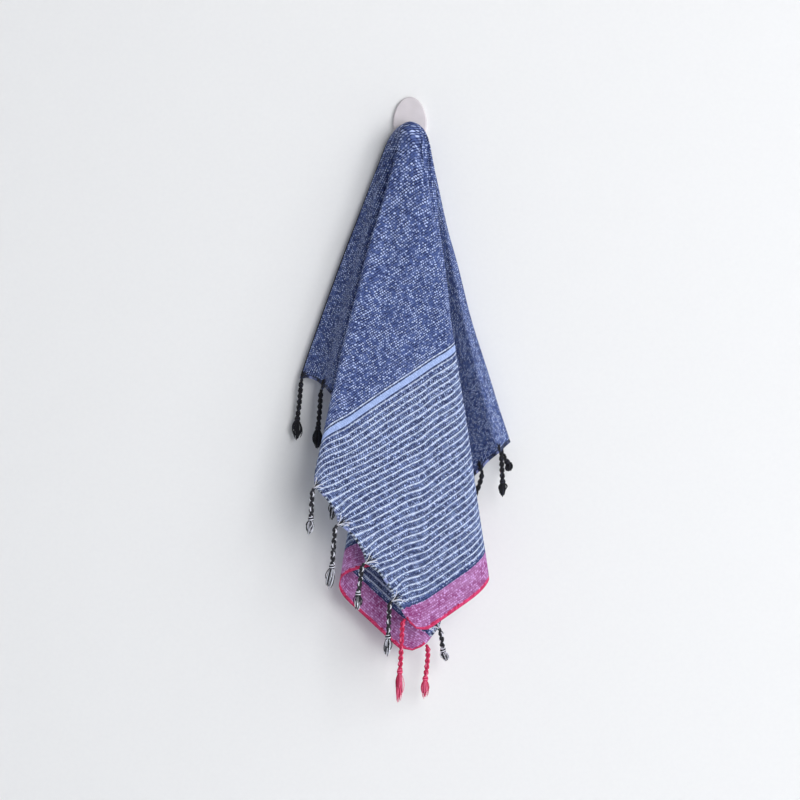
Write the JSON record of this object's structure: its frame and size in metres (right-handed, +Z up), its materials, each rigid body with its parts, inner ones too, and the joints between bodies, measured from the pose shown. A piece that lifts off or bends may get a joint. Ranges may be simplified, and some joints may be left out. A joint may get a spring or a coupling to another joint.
{
  "type": "hand towel on a wall hook",
  "caption": "Flat-woven striped cotton hand towel with twisted tassels, hung by its long edge over a wall hook with an oval plate; it falls in folds to a pink lower border.",
  "frame": {"origin": "middle of the hook plate's back face, on the wall", "axes": "+Y into the wall, +Z up, +X to the right as seen from the room"},
  "size_m": [0.2259, 0.0771, 0.6041],
  "materials": {
    "towel_cloth": "blue heather cotton with white stripes and a pink border",
    "pink_yarn": "pink cotton yarn",
    "mixed_yarn": "black and white cotton yarn",
    "dark_yarn": "black cotton yarn",
    "hook_metal": "satin warm grey"
  },
  "bodies": {
    "root": {"towel": "towel_cloth", "tassel_left_01": "pink_yarn", "tassel_left_02": "mixed_yarn", "tassel_left_03": "mixed_yarn", "tassel_left_04": "mixed_yarn", "tassel_left_05": "mixed_yarn", "tassel_left_06": "mixed_yarn", "tassel_left_07": "dark_yarn", "tassel_left_08": "dark_yarn", "tassel_left_09": "dark_yarn", "tassel_left_10": "dark_yarn", "tassel_left_11": "dark_yarn", "tassel_right_01": "pink_yarn", "tassel_right_02": "mixed_yarn", "tassel_right_03": "mixed_yarn", "tassel_right_04": "mixed_yarn", "tassel_right_05": "mixed_yarn", "tassel_right_06": "mixed_yarn", "tassel_right_07": "dark_yarn", "tassel_right_08": "dark_yarn", "tassel_right_09": "dark_yarn", "tassel_right_10": "dark_yarn", "tassel_right_11": "dark_yarn", "hook_plate": "hook_metal", "hook_arm": "hook_metal"}
  },
  "joints": []
}
